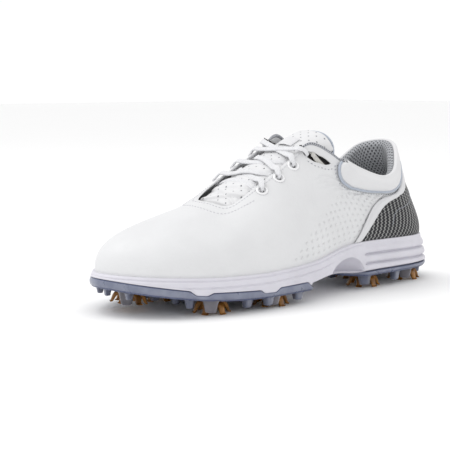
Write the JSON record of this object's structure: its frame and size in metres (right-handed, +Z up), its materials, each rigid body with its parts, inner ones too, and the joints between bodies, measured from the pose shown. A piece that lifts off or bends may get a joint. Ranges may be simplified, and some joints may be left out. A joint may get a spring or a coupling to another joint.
{
  "type": "golf shoe",
  "caption": "Left low-cut laced golf shoe with a leather upper, padded collar, foam midsole and a plastic outsole with twist-in cleats.",
  "frame": {"origin": "centre of the bounding box's underside, on the plane of the cleat tips", "axes": "+X from the toe to the heel, +Z up, -Y the outer (lateral) side of a left shoe"},
  "size_m": [0.2998, 0.108, 0.1155],
  "materials": {
    "upper": "smooth white full-grain leather",
    "lining": "grey knitted mesh",
    "toe_puff": "thermoplastic stiffener sheet",
    "heel_counter": "moulded counter board",
    "heel_panel": "charcoal and silver woven panel",
    "heel_overlay": "white leather overlay",
    "collar_foam": "open-cell foam",
    "collar_lining": "grey spacer mesh",
    "collar_piping": "blue-grey piping",
    "collar_lobe": "soft padded white leather",
    "tongue_face": "perforated white leather",
    "tongue_foam": "open-cell foam",
    "tongue_lining": "grey mesh",
    "tongue_binding": "blue-grey binding",
    "lace_keeper": "white leather strap",
    "lace": "flat woven white lace",
    "aglet": "clear film tip",
    "webbing": "white woven webbing",
    "eyelet": "white enamelled eyelet",
    "midsole": "white EVA foam",
    "outsole_forefoot": "translucent blue-grey TPU",
    "outsole_heel": "translucent blue-grey TPU",
    "bottom_filler": "cork filler",
    "shank": "spring steel",
    "insole_board": "fibre board",
    "sockliner": "fabric-topped foam",
    "receptacle": "black nylon",
    "cleat": "amber translucent TPU"
  },
  "bodies": {
    "shoe": {"upper": "upper", "lining": "lining", "toe_puff": "toe_puff", "heel_counter": "heel_counter", "heel_panel": "heel_panel", "heel_overlay": "heel_overlay", "collar_foam": "collar_foam", "collar_lining": "collar_lining", "collar_piping": "collar_piping", "collar_lobe": "collar_lobe", "tongue_face": "tongue_face", "tongue_foam": "tongue_foam", "tongue_lining": "tongue_lining", "tongue_binding": "tongue_binding", "lace_keeper": "lace_keeper", "lace": "lace", "aglet_1": "aglet", "aglet_2": "aglet", "ghillie_loop_lateral": "webbing", "ghillie_loop_medial": "webbing", "midsole": "midsole", "outsole_forefoot": "outsole_forefoot", "outsole_heel": "outsole_heel", "bottom_filler": "bottom_filler", "shank": "shank", "insole_board": "insole_board", "sockliner": "sockliner", "eyelet_lateral_1": "eyelet", "eyelet_lateral_2": "eyelet", "eyelet_lateral_3": "eyelet", "eyelet_medial_1": "eyelet", "eyelet_medial_2": "eyelet", "eyelet_medial_3": "eyelet", "receptacle_1": "receptacle", "receptacle_2": "receptacle", "receptacle_3": "receptacle", "receptacle_4": "receptacle", "receptacle_5": "receptacle", "receptacle_6": "receptacle", "receptacle_7": "receptacle", "receptacle_8": "receptacle", "receptacle_9": "receptacle"},
    "cleat_1": {"cleat_1": "cleat"},
    "cleat_2": {"cleat_2": "cleat"},
    "cleat_3": {"cleat_3": "cleat"},
    "cleat_4": {"cleat_4": "cleat"},
    "cleat_5": {"cleat_5": "cleat"},
    "cleat_6": {"cleat_6": "cleat"},
    "cleat_7": {"cleat_7": "cleat"},
    "cleat_8": {"cleat_8": "cleat"},
    "cleat_9": {"cleat_9": "cleat"}
  },
  "joints": [
    {"name": "cleat_1_twist", "type": "hinge", "parent": "shoe", "child": "cleat_1", "pos_m": [-0.1209, 0.009, 0.01393], "axis": [0.1219, 0, 0.9925], "range_deg": [0, 60]},
    {"name": "cleat_2_twist", "type": "hinge", "parent": "shoe", "child": "cleat_2", "pos_m": [-0.084, -0.032, 0.009], "axis": [0, 0, 1], "range_deg": [0, 60]},
    {"name": "cleat_3_twist", "type": "hinge", "parent": "shoe", "child": "cleat_3", "pos_m": [-0.034, -0.035, 0.009], "axis": [0, 0, 1], "range_deg": [0, 60]},
    {"name": "cleat_4_twist", "type": "hinge", "parent": "shoe", "child": "cleat_4", "pos_m": [-0.082, 0.031, 0.009], "axis": [0, 0, 1], "range_deg": [0, 60]},
    {"name": "cleat_5_twist", "type": "hinge", "parent": "shoe", "child": "cleat_5", "pos_m": [-0.036, 0.031, 0.009], "axis": [0, 0, 1], "range_deg": [0, 60]},
    {"name": "cleat_6_twist", "type": "hinge", "parent": "shoe", "child": "cleat_6", "pos_m": [0.073, -0.02, 0.009], "axis": [0, 0, 1], "range_deg": [0, 60]},
    {"name": "cleat_7_twist", "type": "hinge", "parent": "shoe", "child": "cleat_7", "pos_m": [0.094, 0.014, 0.009], "axis": [0, 0, 1], "range_deg": [0, 60]},
    {"name": "cleat_8_twist", "type": "hinge", "parent": "shoe", "child": "cleat_8", "pos_m": [0.122, -0.016, 0.009], "axis": [0, 0, 1], "range_deg": [0, 60]},
    {"name": "cleat_9_twist", "type": "hinge", "parent": "shoe", "child": "cleat_9", "pos_m": [0.123, 0.019, 0.009], "axis": [0, 0, 1], "range_deg": [0, 60]}
  ]
}
